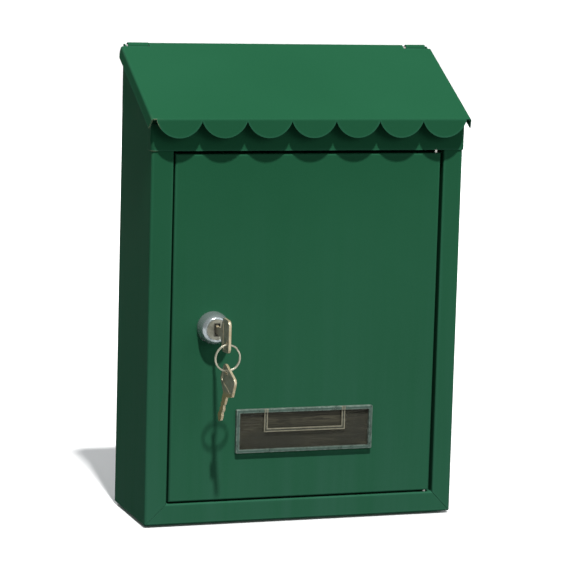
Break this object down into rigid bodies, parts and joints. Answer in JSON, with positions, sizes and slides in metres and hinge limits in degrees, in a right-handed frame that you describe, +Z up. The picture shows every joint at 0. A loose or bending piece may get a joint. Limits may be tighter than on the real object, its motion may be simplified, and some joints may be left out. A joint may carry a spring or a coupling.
{
  "type": "wall mounted mailbox",
  "caption": "Green sheet-steel wall mailbox with a sloping scalloped lid, a hinged front door with a cam lock and keys, and a name plate.",
  "frame": {"origin": "centre of the four wall holes, on the back face that rests on the wall", "axes": "+X to the right seen from the front, +Y into the wall, +Z up; the front faces -Y"},
  "size_m": [0.2166, 0.1188, 0.304],
  "materials": {
    "green_paint": "semi-gloss powder coat",
    "zinc_steel": "zinc plated",
    "lock_chrome": "polished",
    "lock_nickel": "satin nickel",
    "wafer_brass": "stamped",
    "key_nickel": "worn nickel plate",
    "ring_steel": "bright",
    "clear_plastic": "clear",
    "card": "printed card"
  },
  "bodies": {
    "mailbox_body": {"body_shell": "green_paint", "back_panel": "green_paint", "front_band": "green_paint", "lid_hinge_rod": "zinc_steel", "door_pivot_pin_top": "zinc_steel", "door_pivot_pin_bottom": "zinc_steel"},
    "lid": {"lid_panel": "green_paint"},
    "door": {"door_panel": "green_paint", "lock_housing": "lock_chrome", "lock_washer": "zinc_steel", "lock_nut": "zinc_steel", "nameplate_window": "clear_plastic", "name_card": "card"},
    "lock_core": {"lock_plug": "lock_nickel", "plug_wafers": "wafer_brass", "lock_stop_washer": "zinc_steel", "lock_cam": "zinc_steel", "cam_screw_washer": "zinc_steel", "cam_screw": "zinc_steel"},
    "inserted_key": {"key_in_lock": "key_nickel"},
    "ring": {"key_ring": "ring_steel"},
    "hanging_key": {"spare_key": "key_nickel"}
  },
  "joints": [
    {"name": "lid_hinge", "type": "hinge", "parent": "mailbox_body", "child": "lid", "pos_m": [0, -0.0025, 0.1615], "axis": [-1, 0, 0], "range_deg": [0, 115]},
    {"name": "door_hinge", "type": "hinge", "parent": "mailbox_body", "child": "door", "pos_m": [0.0872, -0.0691, -0.014], "axis": [0, 0, 1], "range_deg": [0, 105]},
    {"name": "key_turn", "type": "hinge", "parent": "door", "child": "lock_core", "pos_m": [-0.0625, -0.072, -0.0124], "axis": [0, 1, 0], "range_deg": [0, 90]},
    {"name": "key_slide", "type": "slide", "parent": "lock_core", "child": "inserted_key", "axis": [0, -1, 0], "range_m": [0, 0.0112]},
    {"name": "ring_swing", "type": "hinge", "parent": "inserted_key", "child": "ring", "pos_m": [-0.0625, -0.105, -0.0182], "axis": [-0.9962, -0.0872, 0], "range_deg": [-12, 90]},
    {"name": "spare_key_swing", "type": "hinge", "parent": "ring", "child": "hanging_key", "pos_m": [-0.0625, -0.105, -0.0347], "axis": [-0.9962, -0.0872, 0], "range_deg": [-18, 60]}
  ]
}
